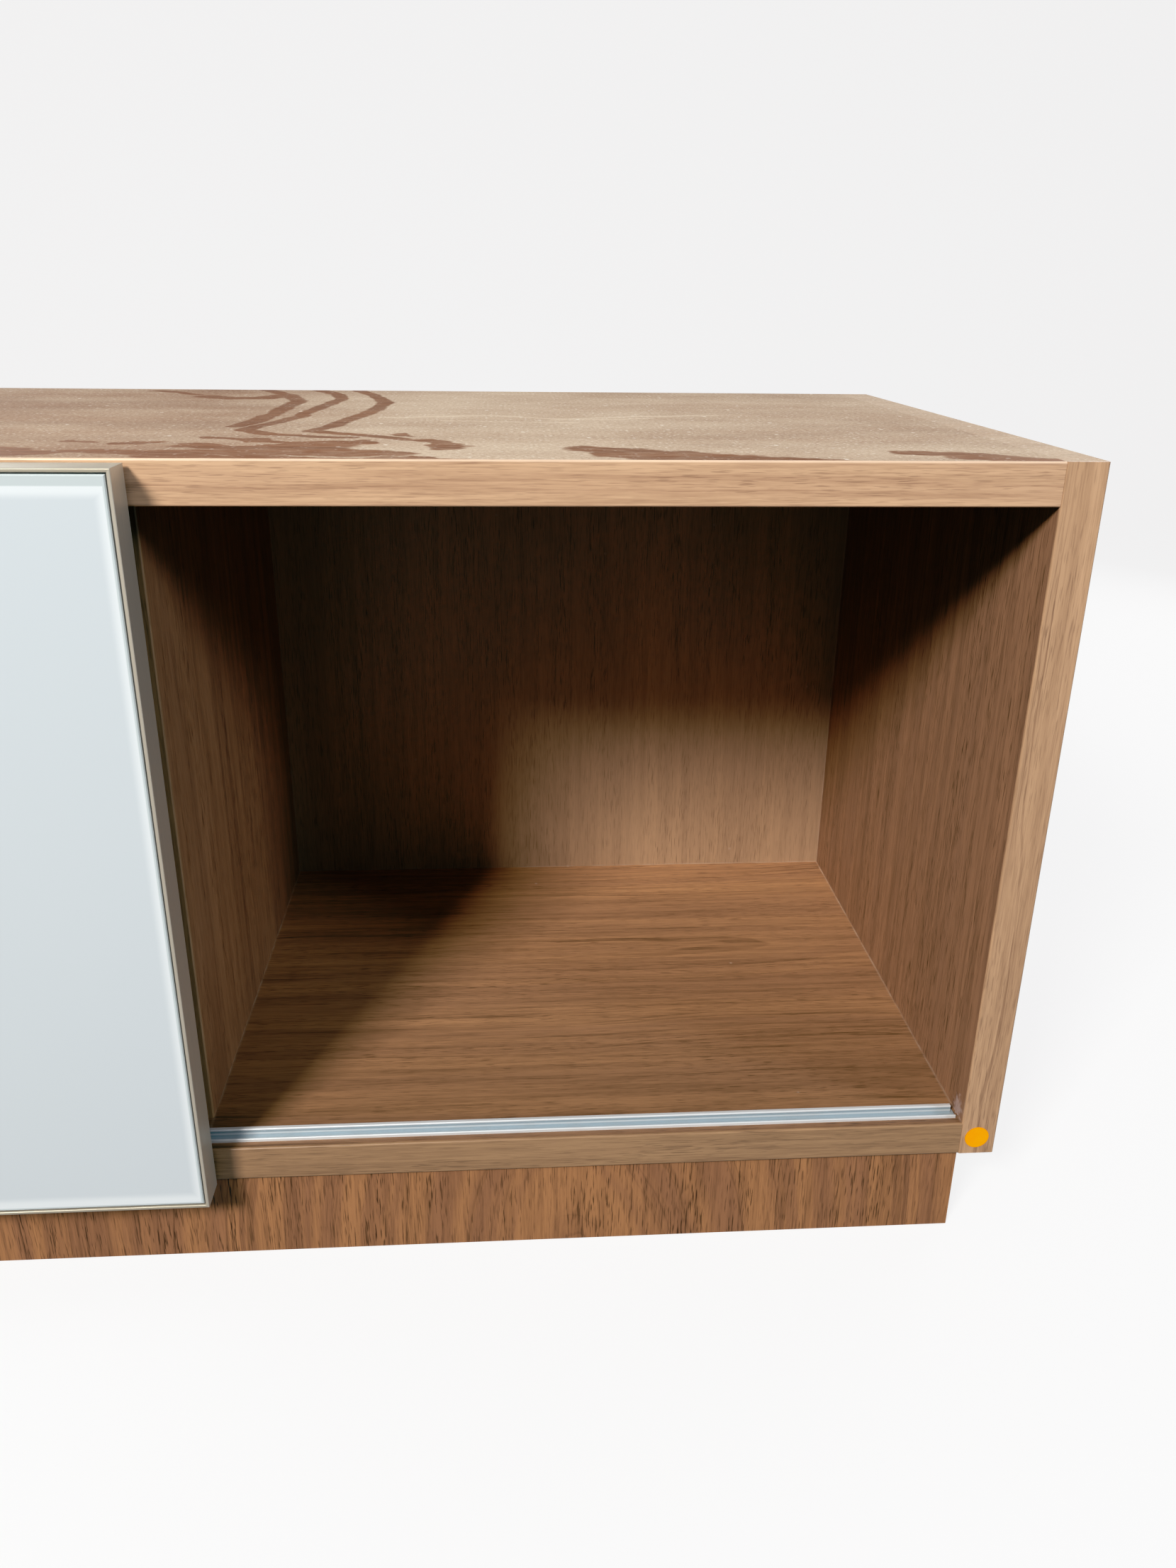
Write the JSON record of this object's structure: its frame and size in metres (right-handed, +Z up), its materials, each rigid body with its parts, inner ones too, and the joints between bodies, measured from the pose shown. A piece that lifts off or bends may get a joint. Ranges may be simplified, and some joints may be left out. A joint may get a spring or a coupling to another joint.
{
  "type": "sideboard with sliding door",
  "caption": "Low walnut-look sideboard on a recessed plinth, with open bays and an overlay sliding glass door in a slim aluminium frame on a bottom track.",
  "frame": {"origin": "on the floor, at the centre of the footprint, which runs from the front of the door to the rear edges of the carcass", "axes": "+X along the width to the right as seen from the front, +Y from the front to the back, +Z up"},
  "size_m": [1.24, 0.5684, 0.6],
  "materials": {
    "walnut_laminate": "satin walnut-look melamine on particle board",
    "walnut_edging": "satin walnut-look edging",
    "plinth_laminate": "satin walnut-look melamine on particle board",
    "beech": "raw",
    "zinc_steel": "zinc plated",
    "track_aluminium": "natural anodised extrusion",
    "champagne_aluminium": "champagne-grey anodised extrusion",
    "cast_keys": "die cast",
    "white_glass": "back-painted white, polished arris",
    "foam_tape": "matte",
    "grey_gasket": "matte",
    "white_nylon": "matte",
    "rubber_buffer": "matte",
    "bearing_steel": "polished",
    "orange_sticker": "matte paper"
  },
  "bodies": {
    "carcass": {"top_panel": "walnut_laminate", "bottom_panel": "walnut_laminate", "left_side_panel": "walnut_laminate", "right_side_panel": "walnut_laminate", "center_divider": "walnut_laminate", "back_panel": "walnut_laminate", "top_edge_band": "walnut_edging", "bottom_edge_band": "walnut_edging", "left_edge_band": "walnut_edging", "right_edge_band": "walnut_edging", "divider_edge_band": "walnut_edging", "cam_housings": "zinc_steel", "cam_bolts": "zinc_steel", "wood_dowels": "beech", "back_brackets": "zinc_steel", "back_bracket_screws": "zinc_steel", "plinth_front": "plinth_laminate", "plinth_rear": "plinth_laminate", "plinth_left": "plinth_laminate", "plinth_right": "plinth_laminate", "plinth_cross_rail": "plinth_laminate", "plinth_dowels": "beech", "plinth_corner_blocks": "beech", "plinth_block_screws": "zinc_steel", "plinth_board_screws": "zinc_steel", "lower_track": "track_aluminium", "upper_guide_track": "track_aluminium", "upper_track_screws": "zinc_steel", "track_end_stops": "white_nylon", "end_stop_bumpers": "rubber_buffer", "marker_dot": "orange_sticker"},
    "sliding_door": {"door_glass": "white_glass", "door_glass_tape": "foam_tape", "door_edge_gasket": "grey_gasket", "door_frame_top": "champagne_aluminium", "door_frame_bottom": "champagne_aluminium", "door_frame_left": "champagne_aluminium", "door_frame_right": "champagne_aluminium", "door_corner_keys": "cast_keys", "door_corner_screws": "zinc_steel", "left_roller_bracket": "zinc_steel", "right_roller_bracket": "zinc_steel", "left_guide_bracket": "zinc_steel", "right_guide_bracket": "zinc_steel", "bracket_screws": "zinc_steel", "left_guide_shoe": "white_nylon", "right_guide_shoe": "white_nylon", "guide_shoe_screws": "zinc_steel", "left_roller_axle": "zinc_steel", "right_roller_axle": "zinc_steel", "roller_spacers": "zinc_steel"},
    "left_roller_wheel": {"left_roller": "white_nylon", "left_roller_bearing": "bearing_steel"},
    "right_roller_wheel": {"right_roller": "white_nylon", "right_roller_bearing": "bearing_steel"}
  },
  "joints": [
    {"name": "door_slide", "type": "slide", "parent": "carcass", "child": "sliding_door", "axis": [1, 0, 0], "range_m": [0, 0.598]},
    {"name": "left_roller_spin", "type": "hinge", "parent": "sliding_door", "child": "left_roller_wheel", "pos_m": [-0.55, -0.2405, 0.1163], "axis": [0, 1, 0], "continuous": true},
    {"name": "right_roller_spin", "type": "hinge", "parent": "sliding_door", "child": "right_roller_wheel", "pos_m": [-0.048, -0.2405, 0.1163], "axis": [0, 1, 0], "continuous": true}
  ],
  "couplings": [
    {"joint": "left_roller_spin", "follows": "door_slide", "rad_per_m": 111.11},
    {"joint": "right_roller_spin", "follows": "door_slide", "rad_per_m": 111.11}
  ]
}
